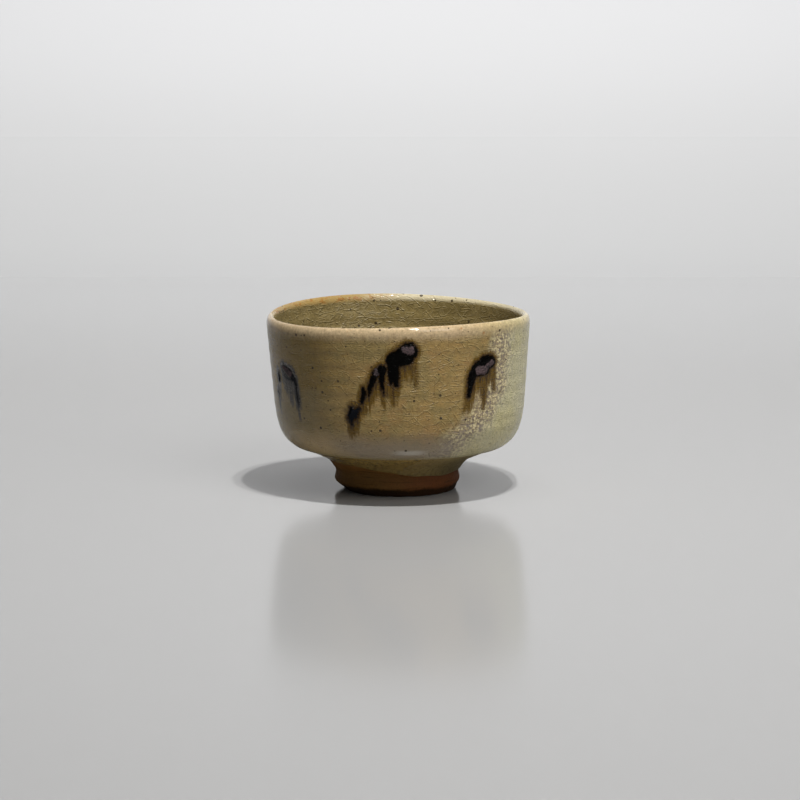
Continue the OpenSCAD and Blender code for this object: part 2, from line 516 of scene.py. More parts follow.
lower_end = np.interp(EDGE_MIDDLE, outer_clay[:, 1], line_length)
covered = line_length >= lower_end
coat_start = at_length(lower_end, line_length, outer_clay)
coat_line = np.concatenate([[coat_start], outer_clay[covered]])
coat_at = np.concatenate([[lower_end], line_length[covered]]) - lower_end
roll = np.sqrt(1 - (1 - np.clip((coat_at + 0.05) / 0.9, 0, 1)) ** 2)
bead = BEAD * np.exp(-(((coat_at - BEAD_AT) / BEAD_WIDTH) ** 2))
full = THIN_EDGE + (1 - THIN_EDGE) * smooth(coat_at, 0, FULL_AFTER)
coat_thick = roll * (COAT * full + bead)
coat_skin = coat_over(coat_line, 1, coat_thick)

# The hidden back is coarse, but finer in the hollow neck, where it would poke out
hidden_back = np.concatenate([coat_line[::-7][:-8], coat_line[48:0:-2]])
coat_outline = np.concatenate([coat_skin, [coat_line[-1]], hidden_back[1:], [coat_line[0]], [coat_skin[0]]])
coat = turn_on_wheel("glaze_outside", coat_outline, steps=540)


def slid_to_edge(points):
    """Slide the lower rings of the coat along the clay, to its wavy lower edge."""
    radius, angle, height = around(points)
    here = np.stack([radius, height], axis=1)
    nearest = np.empty(len(here), dtype=int)
    for start in range(0, len(here), BLOCK):
        gaps = here[start : start + BLOCK, None, :] - outer_clay[None, :, :]
        nearest[start : start + BLOCK] = (gaps**2).sum(axis=2).argmin(axis=1)
    low = line_length[nearest] < lower_end + SLIDE_OVER
    frames = normals_of(outer_clay, 1)
    normal = frames[nearest]
    tangent = np.stack([-normal[:, 1], normal[:, 0]], axis=1)
    away = here - outer_clay[nearest]
    offset = (away * normal).sum(axis=1)
    along = line_length[nearest] + (away * tangent).sum(axis=1)
    shift = np.interp(edge_height(angle), outer_clay[:, 1], line_length) - lower_end
    moved = along + shift * (1 - smooth(along - lower_end, 0, SLIDE_OVER))
    placed = at_length(moved, line_length, outer_clay)
    placed += at_length(moved, line_length, frames) * offset[:, None]
    radius = np.where(low, placed[:, 0], radius)
    height = np.where(low, placed[:, 1], height)
    return from_round(radius, angle, height)


coat_points = slid_to_edge(points_of(coat))

# %% Inner coat
inner_skin = coat_over(inner_clay, -1, COAT)
inner_skin[0, 0] = 0
inner_outline = np.concatenate([inner_skin, [inner_clay[-1]], inner_clay[::-6][1:], [[0, FLOOR_TOP]]])
inner_coat = turn_on_wheel("glaze_inside", inner_outline, steps=512)


def thrown_inside(points):
    """Spiral rings that the potter's fingers leave inside."""
    radius, angle, height = around(points)
    rings = 0.16 * np.sin((height - angle / (2 * math.pi) * 7) * 2 * math.pi / 7)
    inside_wall = smooth(height, 20, 30) * (1 - smooth(height, 73, 79))
    spiral = 0.25 * np.sin((radius - angle / (2 * math.pi) * 8) * 2 * math.pi / 8)
    on_floor = (1 - smooth(radius, 25, 38)) * smooth(radius, 2, 6)
    return from_round(radius + rings * inside_wall, angle, height + spiral * on_floor)


put_points(inner_coat, by_hand(thrown_inside(points_of(inner_coat))))

# %% [markdown]
# ## Iron marks
# Each mark was one touch of a loaded brush: a round head where the iron is thick, and runs
# where it flowed down the wall in the fire. A mark is written down as strokes. A stroke is
# a row of points on the unrolled wall: millimetres to the right of the front, height, and
# half width. Thick strokes are black, thin ones brown, skins are dull patches on the
# black, and wrinkles are folds in it, whose pale gleam is a painted highlight.

# %% Strokes
thick = {
    "top_dab": [
        [(-2.6, 67.8, 2.9), (4.2, 71.4, 4.2)],
        [(-0.4, 67.2, 3.0), (3.8, 69.0, 3.4)],
        [(-2.1, 67.0, 2.8), (-2.1, 60.2, 2.7)],
        [(-3.6, 60.0, 1.2), (-3.7, 57.2, 0.8)],
        [(-1.0, 60.0, 1.6), (-1.0, 56.8, 1.1)],
    ],
    "middle_dab": [
        [(-9.6, 62.2, 2.0), (-7.4, 63.2, 2.4)],
        [(-10.4, 61.5, 1.8), (-12.6, 56.0, 1.2), (-13.6, 51.8, 0.6)],
        [(-7.5, 62.0, 1.7), (-7.4, 57.0, 1.2), (-6.7, 51.6, 0.4)],
    ],
    "link_dab": [[(-16.2, 55.0, 0.5), (-15.9, 52.6, 1.3), (-17.0, 48.6, 0.9)]],
    "low_dab": [
        [(-21.9, 45.4, 1.2), (-22.0, 41.8, 2.3)],
        [(-19.2, 45.2, 1.3), (-20.6, 42.6, 2.0)],
        [(-22.2, 40.6, 1.6), (-22.4, 38.2, 0.6)],
    ],
    "right_dab": [
        [(38.8, 62.6, 3.2), (42.0, 64.4, 3.2), (45.2, 64.4, 3.0)],
        [(39.2, 60.8, 2.6), (42.4, 61.0, 2.4)],
        [(37.6, 62.4, 2.4), (35.0, 58.8, 2.3), (33.9, 54.0, 1.7), (33.2, 50.0, 1.1)],
    ],
    "left_dab": [
        [(-63.5, 60.4, 2.4), (-57.2, 58.4, 2.6)],
        [(-62.0, 57.6, 1.9), (-56.6, 56.2, 1.6)],
        [(-54.8, 56.5, 1.3), (-53.6, 48.6, 0.9), (-53.0, 44.0, 0.5)],
    ],
    "edge_dab": [
        [(-70.4, 57.9, 1.2), (-69.6, 54.0, 1.1)],
        [(-72.6, 49.2, 0.9), (-71.8, 45.6, 0.7)],
    ],
    "back_dab_a": [
        [(103.5, 61.0, 3.6), (109.0, 62.6, 3.0)],
        [(103.0, 60.0, 2.2), (102.2, 50.0, 0.9)],
        [(109.4, 61.0, 1.6), (109.8, 54.5, 0.7)],
    ],
    "back_dab_b": [
        [(165.5, 65.0, 3.2), (171.0, 67.0, 3.6)],
        [(170.6, 65.0, 2.0), (171.0, 53.6, 0.8)],
    ],
    "back_dab_c": [
        [(229.0, 58.0, 3.4), (236.0, 60.4, 3.6)],
        [(229.0, 57.0, 1.8), (228.0, 50.4, 0.7)],
        [(235.4, 58.0, 2.0), (236.2, 45.6, 0.8)],
    ],
}
thin = [
    [(-2.2, 60.0, 3.2), (-2.6, 53.5, 2.8), (-3.0, 47.5, 1.4)],
    [(-5.4, 62.0, 1.8), (-5.4, 56.0, 1.8), (-5.2, 51.0, 1.0)],
    [(-22.6, 47.6, 1.6), (-19.4, 48.0, 1.2)],
    [(-24.8, 44.5, 1.3), (-24.8, 40.0, 1.1)],
    [(3.2, 67.0, 1.6), (3.4, 59.0, 1.2)],
    [(6.8, 70.0, 2.4), (7.6, 60.0, 1.6), (7.8, 55.0, 0.8)],
    [(-12.8, 56.0, 1.7), (-13.6, 49.5, 1.2)],
    [(-7.4, 57.0, 1.7), (-6.9, 48.0, 1.4)],
    [(-4.6, 60.0, 1.2), (-5.2, 52.0, 1.2)],
    [(33.4, 54.0, 2.4), (32.2, 47.6, 1.8), (30.8, 43.0, 1.1)],
    [(47.6, 64.0, 1.8), (48.2, 51.6, 1.5)],
    [(41.4, 60.0, 3.6), (41.8, 51.0, 2.8), (42.0, 44.0, 1.4)],
    [(-59.0, 56.0, 4.0), (-58.6, 50.0, 3.0), (-58.0, 44.0, 1.6)],
    [(103.0, 55.0, 1.6), (102.0, 44.0, 0.9)],
    [(171.0, 56.0, 1.6), (171.0, 46.0, 0.8)],
    [(236.0, 50.0, 1.6), (236.4, 40.0, 0.8)],
]
skins = [
    [(2.4, 72.5, 1.2), (5.2, 71.9, 1.9)],
    [(-10.0, 64.2, 0.8), (-9.8, 61.6, 1.1)],
    [(38.4, 61.2, 2.0), (41.4, 60.8, 1.9)],
    [(42.4, 62.2, 1.1), (45.8, 64.0, 1.3)],
    [(-63.2, 61.0, 1.0), (-57.6, 58.8, 1.5)],
    [(105.0, 62.0, 1.2), (108.0, 62.6, 1.4)],
    [(167.0, 65.8, 1.1), (170.4, 67.2, 1.4)],
    [(231.0, 59.0, 1.2), (234.6, 60.0, 1.3)],
]
wrinkles = [
    [(-66.0, 62.4, 0.3), (-60.9, 63.1, 0.35), (-56.4, 61.1, 0.35), (-53.8, 57.8, 0.25)],
    [(-64.6, 61.2, 0.2), (-61.2, 58.5, 0.3), (-57.9, 56.6, 0.2)],
    [(-71.1, 58.6, 0.3), (-67.8, 57.4, 0.35), (-67.9, 53.6, 0.4)],
    [(-74.0, 49.7, 0.3), (-71.0, 48.4, 0.45), (-71.1, 45.0, 0.3)],
]
UNROLL_R = 58.5
print(len(thick), "marks and", len(thin), "runs")


# %% [markdown]
# The distance from a place on the wall to the edge of a stroke decides everything: below
# zero the iron is thick, and just outside it thins to amber. The distance is kept on the
# mesh as an attribute, which the glaze reads later.


# %% Distance to a stroke
FAR_OFF = 60.0
RUN_LENGTH = 11.0


def to_strokes(across, height, strokes):
    """Distance in millimetres to the nearest edge of some strokes; below zero is inside."""
    best = np.full(len(across), FAR_OFF)
    for stroke in strokes:
        for (x0, z0, w0), (x1, z1, w1) in zip(stroke[:-1], stroke[1:]):
            turn = 2 * math.pi * UNROLL_R
            dx = (across - x0 + turn / 2) % turn - turn / 2
            dz = height - z0
            run = max((x1 - x0) ** 2 + (z1 - z0) ** 2, 1e-6)
            t = np.clip((dx * (x1 - x0) + dz * (z1 - z0)) / run, 0, 1)
            gap = np.hypot(dx - t * (x1 - x0), dz - t * (z1 - z0)) - (w0 + t * (w1 - w0))
            best = np.minimum(best, gap)
    return best


def ragged(across, height, amount=0.55):
    """A little wander for the edges of strokes."""
    places = np.stack([across, height * 0.6, np.zeros(len(across))], axis=1)
    return amount * (0.7 * bumps(places, 2.2, 11) + 0.8 * bumps(places, 0.8, 12))


all_thick = [stroke for strokes in thick.values() for stroke in strokes]


def keep_fields(piece, across, height):
    """Store on a piece, point by point, how near each kind of iron is."""
    near = (height > 30) & (height < 80)
    x = across[near]
    z = height[near]
    wander = ragged(x, z)
    below = np.zeros(len(x))
    for drop in np.arange(0.0, RUN_LENGTH, 0.8):
        reach = to_strokes(x, z + drop, all_thick) + wander
        below = np.maximum(below, (1 - drop / RUN_LENGTH) * (1 - smooth(reach, -0.3, 0.8)))
    fields = {
        "iron": (FAR_OFF, to_strokes(x, z, all_thick) + wander),
        "amber": (0.0, 1 - smooth(to_strokes(x, z, thin) + wander, -1.4, 0.9)),
        "dull": (FAR_OFF, to_strokes(x, z, skins) + 0.5 * wander),
        "below": (0.0, below),
        "fold_and_gleam": (0.0, 1 - smooth(to_strokes(x, z, wrinkles), -0.3, 0.5)),
    }
    for name, (elsewhere, values) in fields.items():
        full = np.full(len(across), elsewhere)
        full[near] = values
        layer = piece.data.attributes.new(name, "FLOAT", "POINT")
        layer.data.foreach_set("value", full.astype(np.float32))


_, angle_now, height_now = around(coat_points)
keep_fields(coat, angle_now * UNROLL_R, height_now)
put_points(coat, by_hand(coat_points))

# %% [markdown]
# ## Raised heads
# Thick iron stands proud of the glaze like a drop. Each mark is modelled flat: a grid is
# laid over its strokes, the faces outside them are deleted, the rim is drawn onto the
# outline, and the sheet is extruded into a low dome with a flat back. Then it is wrapped
# on the wall.

# %% Marks
DOME = 0.38
DOME_RUN = 1.8
SINK = 0.06
MESH_STEP = 0.3
MARGIN = 1.5
NUDGE = 0.05
RIM_BAND = 0.45
DRAW_IN = 0.8
wall_part = coat_skin[:, 1] > HIP_H + 6
wall_heights = coat_skin[wall_part, 1]
wall_radii = coat_skin[wall_part, 0]


def gap_to(name, flat):
    return to_strokes(flat[:, 0], flat[:, 1], thick[name]) + ragged(flat[:, 0], flat[:, 1])


def raise_mark(name):
    """Model one iron mark flat, dome it and wrap it on the wall."""
    spots = np.array([point for stroke in thick[name] for point in stroke])
    low = (spots[:, :2] - spots[:, 2:]).min(axis=0) - MARGIN
    high = (spots[:, :2] + spots[:, 2:]).max(axis=0) + MARGIN
    size = high - low
    cells = np.ceil(size / MESH_STEP).astype(int)
    nothing_selected()
    bpy.ops.mesh.primitive_grid_add(
        x_subdivisions=int(cells[0]), y_subdivisions=int(cells[1]), size=1, location=(0, 0, 0)
    )
    piece = bpy.context.object
    piece.name = "iron_" + name
    flat = points_of(piece) * MM
    flat[:, :2] = low + (flat[:, :2] + 0.5) * size
    inside_now = gap_to(name, flat) < 0.05
    put_points(piece, flat)
    mesh = piece.data
    for face in mesh.polygons:
        face.select = not all(inside_now[i] for i in face.vertices)
    edit(piece, "FACE")
    bpy.ops.mesh.delete(type="FACE")
    bpy.ops.mesh.select_all(action="SELECT")
    draw_out(0, 0, -MM)
    leave_edit()
    flat = points_of(piece)
    for _ in range(3):
        gap = gap_to(name, flat)
        nudges = NUDGE * np.eye(3)[:2]
        slope = np.stack([gap_to(name, flat + nudge) - gap for nudge in nudges], axis=1) / NUDGE
        on_rim = (gap > -RIM_BAND) & is_rim(piece)
        flat[on_rim, :2] -= (gap[:, None] * slope)[on_rim] * DRAW_IN
    gap = gap_to(name, flat)
    depth = np.clip(-gap / DOME_RUN, 0, 1)
    lumps = 1 + 0.25 * bumps(flat, 2.2, 21)
    top = flat[:, 2] > -0.5
    rise = np.where(top, DOME * smooth(depth, 0, 1) * lumps, -SINK)
    radius = np.interp(flat[:, 1], wall_heights, wall_radii) + rise
    keep_fields(piece, flat[:, 0], flat[:, 1])
    put_points(piece, by_hand(from_round(radius, flat[:, 0] / UNROLL_R, flat[:, 1])))
    face_outwards(piece)
    print(name, len(mesh.polygons), "faces")
    return piece


def is_rim(piece):
    """Which points lie on the side wall between the dome and the flat back."""
    mesh = piece.data
    flags = np.zeros(len(mesh.vertices), dtype=bool)
    for face in mesh.polygons:
        if abs(face.normal.z) < 0.5:
            flags[list(face.vertices)] = True
    return flags


marks = {name: raise_mark(name) for name in thick}

# %% Smooth shading
for piece in (body, foot, coat, inner_coat, *marks.values()):
    just(piece)
    bpy.ops.object.shade_smooth_by_angle(angle=math.radians(50))


# %% [markdown]
# ## Writing materials
# A material is a sum of small sums: how much light glaze lies here, how near is a craze
# line, how thick is the iron. One class wraps a socket, so these sums are written as in
# Python, and one method adds any other node.


# %% Wires and the workbench
class Wire:
    """A value in a material. Sums and products of wires add their own Math nodes."""

    def __init__(self, bench, socket):
        self.bench = bench
        self.socket = socket

    def maths(self, operation, *others):
        return self.bench.add("Math", {"operation": operation}, (self, *others))

    def __add__(self, other):
        return self.maths("ADD", other)

    def __sub__(self, other):
        return self.maths("SUBTRACT", other)

    def __mul__(self, other):
        return self.maths("MULTIPLY", other)

    def __truediv__(self, other):
        return self.maths("DIVIDE", other)

    def __rsub__(self, other):
        return self.bench.add("Math", {"operation": "SUBTRACT"}, (other, self))

    def __neg__(self):
        return self * -1.0

    def __abs__(self):
        return self.maths("ABSOLUTE")

    __radd__ = __add__
    __rmul__ = __mul__


class Bench:
    """One material and the nodes that are added to it."""

    def __init__(self, name):
        self.material = bpy.data.materials.new(name)
        self.material.use_nodes = True
        self.tree = self.material.node_tree
        self.shader = self.tree.nodes["Principled BSDF"]
        place = self.add("TexCoord", {}, (), "Object")
        inputs = {"Vector": place, "Scale": 1 / MM}
        self.place = self.add("VectorMath", {"operation": "SCALE"}, inputs)
        parts = self.add("SeparateXYZ", {}, (self.place,), None)
        self.x, self.y, self.z = (Wire(self, parts.outputs[i]) for i in range(3))
        self.angle = self.x.maths("ARCTAN2", -self.y) * math.degrees(1)

    def add(self, kind, settings, inputs, output=0):
        """Add a node: its settings first, then its sockets; give back one output."""
        node = self.tree.nodes.new("ShaderNode" + kind)
        for key, value in settings.items():
            setattr(node, key, value)
        pairs = inputs.items() if isinstance(inputs, dict) else enumerate(inputs)
        for key, value in pairs:
            self.feed(node.inputs[key], value)
        return node if output is None else Wire(self, node.outputs[output])

    def feed(self, socket, value):
        """Link a wire to a socket, or set a plain value on it."""
        if isinstance(value, Wire):
            self.tree.links.new(value.socket, socket)
        elif isinstance(value, tuple) and len(value) == 3 and socket.type == "RGBA":
            socket.default_value = (*value, 1)
        else:
            socket.default_value = value

    def step(self, value, low, high):
        """0 at low, 1 at high and a soft step between."""
        ends = {"Value": value, "From Min": low, "From Max": high}
        return self.add("MapRange", {"interpolation_type": "SMOOTHSTEP"}, ends)

    def mix(self, under, over_it, share):
        """Lay one colour over another."""
        settings = {"data_type": "RGBA"}
        return self.add("Mix", settings, {0: share, 6: under, 7: over_it}, 2)

    def dim(self, colour, amount):
        """Make a colour lighter or darker by a factor."""
        settings = {"data_type": "RGBA", "blend_type": "MULTIPLY"}
        grey = self.add("CombineColor", {}, (amount, amount, amount))
        return self.add("Mix", settings, {0: 1.0, 6: colour, 7: grey}, 2)

    def noise(self, size, detail=2.0, stretch=(1, 1, 1), seed=0.0, rough=0.5):
        """Soft noise from 0 to 1 with lumps of a size in millimetres."""
        lens = {"Location": (seed * 13.7, seed * 5.1, seed * 9.3), "Scale": tuple(s / size for s in stretch)}
        moved = self.add("Mapping", {}, {"Vector": self.place, **lens})
        inputs = {"Vector": moved, "Scale": 1.0, "Detail": detail, "Roughness": rough}
        return self.add("TexNoise", {}, inputs)

    def cells(self, size, feature, seed=0.0, wander=0.0, output=0, stretch=(1, 1, 1)):
        """Cells of a size in millimetres, with walls that wander."""
        lens = {"Location": (seed * 7.7, seed * 3.3, seed * 4.1), "Scale": stretch}
        moved = self.add("Mapping", {}, {"Vector": self.place, **lens})
        if wander:
            inputs = {"Vector": self.place, "Scale": 1 / size, "Detail": 2.0}
            push = self.add("TexNoise", {}, inputs, 1)
            inputs = {0: push, 1: (0.5, 0.5, 0.5)}
            push = self.add("VectorMath", {"operation": "SUBTRACT"}, inputs)
            inputs = {"Vector": push, "Scale": wander}
            push = self.add("VectorMath", {"operation": "SCALE"}, inputs)
            moved = self.add("VectorMath", {"operation": "ADD"}, (moved, push))
        inputs = {"Vector": moved, "Scale": 1 / size}
        return self.add("TexVoronoi", {"feature": feature}, inputs, output)

    def kept(self, name):
        """A number stored on the piece."""
        return self.add("Attribute", {"attribute_name": name}, (), "Fac")

    def finish(self, colour, roughness, bump=None, bump_height=0.1, **fixed):
        """Connect the surface: colour, roughness, relief in millimetres, and fixed values."""
        self.feed(self.shader.inputs["Base Color"], colour)
        self.feed(self.shader.inputs["Roughness"], roughness)
        if bump is not None:
            inputs = {"Height": bump, "Distance": bump_height * MM, "Strength": 1.0}
            relief = self.add("Bump", {}, inputs, "Normal")
            self.feed(self.shader.inputs["Normal"], relief)
        for name, value in fixed.items():
            self.shader.inputs[name.replace("_", " ")].default_value = value
        print(self.material.name, "has", len(self.tree.nodes), "nodes")
        return self.material


# %% [markdown]
# ## Floor finish
# A satin lacquer, pale grey: it mirrors the foot softly at this low angle. The far end and
# the backdrop are painted a little lighter, because the lamps aim at the bowl.

# %% Floor
NEAR_GREY = (0.365, 0.362, 0.357)
FAR_GREY = (0.42, 0.42, 0.42)
WALL_GREY = (0.46, 0.46, 0.465)
bench = Bench("pale_satin_board")
upright = bench.step(bench.z, 20.0, 170.0)
far = bench.step(bench.y, 260.0, 700.0)
tone = bench.mix(bench.mix(NEAR_GREY, FAR_GREY, far), WALL_GREY, upright)
floor_finish = bench.finish(tone, 0.15 + 0.5 * upright, IOR=1.18)
floor.data.materials.append(floor_finish)
backdrop.data.materials.append(floor_finish)

# %% [markdown]
# ## Ash glaze
# The coat is olive where it is thin over the iron-bearing clay, and pale celadon on the
# side that took most ash. Between them lies a speckled seam. The left side is browner and
# darker, partly in the glaze and partly painted shade. Fine craze lines catch dust and light,
# with a painted shade line beneath each. Dark iron specks bleed through, and the lip is thin
# and tan. A grey veil lies over the hip, partly glaze colour and partly a painted reflection
# of the floor in front, with a painted highlight on the hip and along the ridge of the ledge.
# The iron marks use the same recipe, so that a mark's edge has no seam.


# %% Fine lines and specks
def scratch_lines(bench, slope, spacing, seed):
    """Short, nearly straight lines at a slope on the wall: 1 on a line, below 0 in a painted shade line
    beneath it.
    """
    turn = math.radians(slope)
    across = bench.angle * (1.02 * math.sin(turn)) + bench.z * math.cos(turn)
    bent = across + (bench.noise(11, 1, seed=seed) - 0.5) * 6
    off_line = ((bent / spacing).maths("FRACT") - 0.5) * spacing
    shown = bench.step(bench.noise(3.6, 1.5, seed=seed + 0.5), 0.49, 0.60)
    lit = bench.step(abs(off_line), 0.30, 0.08)
    # The dark line just beneath each line is painted shade, as if the line stood up in light from above
    shaded = bench.step(abs(off_line + 0.5), 0.36, 0.08)
    return (lit - shaded * 0.8) * shown


def crackle(bench):
    """Craze lines over two sizes of cells: above 0 on the lines, below 0 in the painted shade beneath the
    sloping lines.
    """
    coarse = bench.step(bench.cells(3.4, "DISTANCE_TO_EDGE", 1.0, 1.6), 0.060, 0.015)
    small = bench.step(bench.cells(1.7, "DISTANCE_TO_EDGE", 2.0, 0.9), 0.12, 0.03)
    patchy = bench.step(bench.noise(4.5, 2, seed=4), 0.40, 0.60)
    lines = (coarse * (0.15 + 0.4 * patchy)).maths("MAXIMUM", small * (0.1 + 0.35 * patchy))
    for slope, spacing, seed in ((3, 2.3, 31), (44, 3.3, 32), (-36, 3.5, 33), (-7, 2.9, 34), (12, 4.1, 35)):
        lines = lines + scratch_lines(bench, slope, spacing, seed) * 0.8
    return lines


def specks(bench, size, seed, largest, share=0.5, stretch=(1, 1, 1)):
    """Scattered dots of uneven size, from 0 to 1."""
    gap = bench.cells(size, "F1", seed, stretch=stretch)
    chance = bench.cells(size, "F1", seed, output=1, stretch=stretch)
    luck = bench.add("SeparateColor", {}, (chance,))
    reach = bench.step(luck, 1.0 - share, 1.0) * (largest / size)
    return bench.step(gap - reach, 0.02, -0.02)


# %% [markdown]
# The recipe is laid on in layers: the ground, the speckled seam, the craze lines, hip and
# lip, the specks, and the iron last. Each layer takes the colour so far and paints over
# it. They share one set of noises and places, so that their edges fall together.


# %% Where things lie on the outer glaze
def lay_out(bench):
    """The noises and the places that all layers of the outer glaze share."""
    angle, z = bench.angle, bench.z
    lay = SimpleNamespace(angle=angle, z=z)
    lay.drift = bench.noise(24, 2, seed=1) - 0.5
    lay.ripple = bench.noise(5, 3, seed=2) - 0.5
    lay.fine = bench.noise(0.8, 2, seed=3) - 0.5
    lay.grain = bench.noise(1.5, 2, seed=17) - 0.5
    lay.brush = bench.noise(1.7, 3, (1, 1, 0.12), 14) - 0.5
    lay.flow = bench.noise(0.9, 3, (1, 1, 0.10), 12) - 0.5
    lay.craze = crackle(bench)

    # The seam slants: it lies further right towards the lip
    down = ((76.0 - z) / 54.0).maths("MAXIMUM", 0.0).maths("POWER", 1.9)
    lay.seam = angle - 53.0 + down * 32.0 + lay.drift * 14 + lay.ripple * 9
    lay.away = bench.step(abs(angle), 150.0, 118.0)
    lay.celadon = bench.step(lay.seam, 0.0, 9.0) * lay.away
    lay.on_seam = bench.step(lay.seam, -13.0, -1.0) * bench.step(lay.seam, 15.0, 1.0) * lay.away
    lay.left = bench.step(angle + lay.drift * 26, -22.0, -46.0) * lay.away

    # Bands around the bowl: the veil on the hip, partly glaze colour and partly painted reflection of the
    # floor in front, below the ledge, and the glossy lip
    in_front = bench.step(abs(angle) + lay.ripple * 16, 80.0, 40.0)
    lay.veil = bench.step(z + lay.drift * 9, 37.0, 26.0) * bench.step(z, 20.0, 22.5) * in_front
    lay.under = bench.step(z, 22.0, 19.8)
    lay.shine = bench.step(z, 75.8, 77.8)
    return lay


# %% Ground of the outer glaze
OLIVE = (0.240, 0.158, 0.054)
OLIVE_GREEN = (0.200, 0.145, 0.053)
OLIVE_WARM = (0.255, 0.152, 0.052)
LEFT_BROWN = (0.150, 0.102, 0.028)
LEFT_GREY = (0.165, 0.125, 0.056)
LEFT_STREAK = (0.12, 0.09, 0.048)
CELADON = (0.43, 0.395, 0.235)
CELADON_YELLOW = (0.43, 0.385, 0.205)
CELADON_GREY = (0.27, 0.245, 0.185)


def ground(bench, lay):
    """Warm olive with greener clouds, browner and darker on the left, partly painted shade, and pale on the
    right.
    """
    colour = bench.mix(OLIVE, OLIVE_GREEN, bench.step(lay.ripple + lay.drift, -0.15, 0.2))
    warm = bench.step(bench.noise(12, 3, seed=5), 0.50, 0.68)
    colour = bench.mix(colour, OLIVE_WARM, warm * 0.8)
    # The left side is browner and darker: partly the glaze's own colour, partly painted shade on the side
    # away from the lamps
    plain = bench.mix(LEFT_BROWN, LEFT_GREY, bench.step(lay.z + lay.drift * 10, 54.0, 48.0))
    plain = bench.mix(plain, LEFT_STREAK, bench.step(lay.brush, 0.0, 0.35) * 0.35)
    colour = bench.mix(colour, plain, lay.left * 0.85)
    yellowed = bench.step(bench.noise(15, 3, seed=6), 0.40, 0.65)
    pale = bench.mix(CELADON, CELADON_YELLOW, yellowed)
    greyed = bench.step(lay.brush, 0.02, 0.30) * bench.step(lay.z, 36.0, 60.0)
    pale = bench.mix(pale, CELADON_GREY, greyed * 0.55)
    return bench.mix(colour, pale, lay.celadon)


# %% Speckles of the seam
SEAM_GROUND = (0.34, 0.30, 0.215)
SEAM_PALE = (0.56, 0.48, 0.28)
SEAM_DARK = (0.155, 0.125, 0.115)
MAUVE_DOT = (0.17, 0.145, 0.15)


def speckled(bench, lay, colour):
    """Pale and dark dots along the seam, and a few mauve ones beyond it."""
    dots = bench.noise(1.25, 1.5, seed=8)
    light = bench.step(dots, 0.52, 0.59) * lay.on_seam
    dark = bench.step(dots, 0.48, 0.41) * lay.on_seam
    colour = bench.mix(colour, SEAM_GROUND, lay.on_seam * 0.55)
    colour = bench.mix(colour, SEAM_PALE, light * 0.9)
    colour = bench.mix(colour, SEAM_DARK, dark * 0.8)
    beyond = bench.step(lay.seam, -16.0, 0.0) * bench.step(lay.seam, 34.0, 6.0)
    mauve_dots = specks(bench, 2.6, 21, 0.55, 0.5) * beyond
    return bench.mix(colour, MAUVE_DOT, mauve_dots * lay.away * 0.7)


# %% Craze lines and grain
CRAZE_PALE = (0.40, 0.295, 0.125)


def crazed(bench, lay, colour):
    """Fine mottling, and craze lines that fade on the left and on the pale side."""
    lines = lay.craze * (1 - lay.celadon * 0.85) * (1 - lay.left * 0.8)
    # gaps is the painted shade beneath the craze lines
    gaps = lines.maths("MINIMUM", 0.0) * 0.34
    mottle = (lay.fine * 0.8 + lay.grain * 0.8) * (1 - lay.left * 0.5)
    colour = bench.dim(colour, 1.30 + mottle + lay.brush * 0.2 + gaps)
    return bench.mix(colour, CRAZE_PALE, lines * 0.5)


# %% Hip and lip
VEIL_AND_REFLECTION = (0.25, 0.208, 0.16)
VEIL_AND_REFLECTION_LEFT = (0.46, 0.325, 0.16)
HIP_HIGHLIGHT = (0.52, 0.485, 0.43)
LIP_TAN = (0.60, 0.455, 0.285)
LIP_OLIVE = (0.54, 0.43, 0.22)
LIP_RUST = (0.34, 0.13, 0.03)


def hip_and_lip(bench, lay, colour):
    """The veil over the hip, partly a painted reflection of the floor, with a painted highlight in front,
    and the thin tan lip.
    """
    # The veil is partly the glaze's grey band, partly a painted reflection of the lit floor in front of the
    # hip
    veil_tone = bench.mix(VEIL_AND_REFLECTION, VEIL_AND_REFLECTION_LEFT, lay.left)
    colour = bench.mix(colour, veil_tone, lay.veil * (0.75 - 0.5 * lay.celadon))
    # A painted highlight on the hip in front, where it reflects the lit floor
    painted_hip_highlight = bench.step(abs(lay.angle - 5.0), 12.0, 1.0)
    painted_hip_highlight = painted_hip_highlight * bench.step(abs(lay.z - 24.9), 1.9, 0.3)
    colour = bench.mix(colour, HIP_HIGHLIGHT, painted_hip_highlight * 0.6)
    lip_band = bench.step(lay.z + lay.ripple * 2.0 + lay.fine + lay.left, 74.6, 80.0)
    lip_tone = bench.mix(LIP_TAN, LIP_OLIVE, bench.step(lay.angle, 25.0, 55.0))
    lip_tone = bench.dim(lip_tone, 0.97 + lay.fine * 0.7 + lay.grain * 0.8)
    colour = bench.mix(colour, lip_tone, lip_band * 0.7)
    rusty = bench.step(bench.noise(3.0, 2, seed=9), 0.66, 0.74) * bench.step(lay.z, 76.0, 79.0)
    return bench.mix(colour, LIP_RUST, rusty * 0.6)


# %% Iron specks and the glaze under the ledge
SPECK_BROWN = (0.035, 0.022, 0.010)
UNDER_GREEN = (0.30, 0.205, 0.062)
UNDER_RIGHT = (0.125, 0.080, 0.014)
UNDER_STREAK = (0.09, 0.055, 0.014)
RIDGE_HIGHLIGHT = (0.24, 0.20, 0.10)


